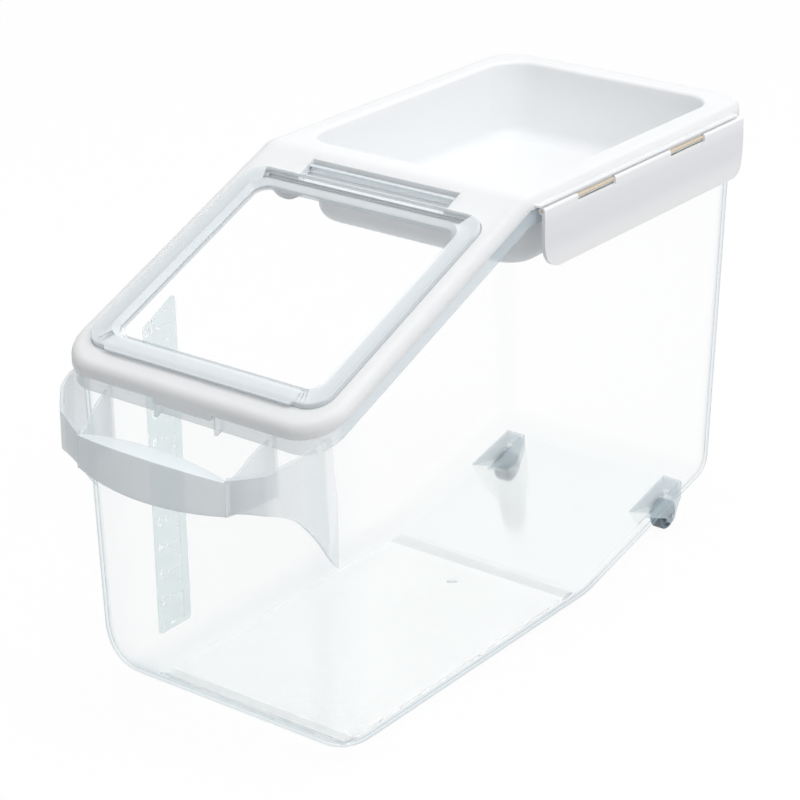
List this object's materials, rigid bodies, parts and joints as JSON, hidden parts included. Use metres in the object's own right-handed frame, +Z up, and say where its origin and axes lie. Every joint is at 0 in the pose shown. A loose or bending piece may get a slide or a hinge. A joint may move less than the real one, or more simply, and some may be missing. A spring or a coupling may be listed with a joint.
{
  "type": "rice bin with flip lid",
  "caption": "Clear dry-food bin with a white tray lid, a hinged clear pouring flap, long side locking clips, a moulded front handle and small rear floor wheels.",
  "frame": {"origin": "centre of the whole bin's footprint, on the floor it stands on", "axes": "-Y towards the front, where the handle and the flap are; +Z up; +X to the right of someone who faces the front"},
  "size_m": [0.204, 0.484, 0.2995],
  "materials": {
    "clear_bin": "clear polypropylene, polished",
    "white_lid": "white, satin gloss",
    "clear_flap": "clear polypropylene, polished",
    "white_clip": "white, satin gloss",
    "tan_pin": "matt tan",
    "seal": "soft white elastomer",
    "grey_wheel": "grey-blue plastic",
    "axle_steel": "plain steel wire"
  },
  "bodies": {
    "bin": {"bin_body": "clear_bin", "axle_left": "axle_steel", "axle_right": "axle_steel"},
    "lid": {"lid_cover": "white_lid", "lid_seal": "seal", "clip_pin_left": "tan_pin", "clip_pin_right": "tan_pin"},
    "flap": {"flip_lid": "clear_flap", "flip_lid_seal": "seal"},
    "clip_left": {"side_clip_left": "white_clip"},
    "clip_right": {"side_clip_right": "white_clip"},
    "wheel_left": {"wheel_left": "grey_wheel"},
    "wheel_right": {"wheel_right": "grey_wheel"}
  },
  "joints": [
    {"name": "lid_lift", "type": "slide", "parent": "bin", "child": "lid", "axis": [0, 0, 1], "range_m": [0, 0.1]},
    {"name": "flap_hinge", "type": "hinge", "parent": "lid", "child": "flap", "pos_m": [0, -0.02419, 0.29182], "axis": [-1, 0, 0], "range_deg": [0, 115]},
    {"name": "clip_right_hinge", "type": "hinge", "parent": "lid", "child": "clip_right", "pos_m": [0.09931, 0.108, 0.2901], "axis": [0, -1, 0], "range_deg": [0, 100]},
    {"name": "clip_left_hinge", "type": "hinge", "parent": "lid", "child": "clip_left", "pos_m": [-0.09931, 0.108, 0.2901], "axis": [0, 1, 0], "range_deg": [0, 100]},
    {"name": "wheel_right_spin", "type": "hinge", "parent": "bin", "child": "wheel_right", "pos_m": [0.064, 0.205, 0.01], "axis": [1, 0, 0], "continuous": true},
    {"name": "wheel_left_spin", "type": "hinge", "parent": "bin", "child": "wheel_left", "pos_m": [-0.064, 0.205, 0.01], "axis": [1, 0, 0], "continuous": true}
  ]
}
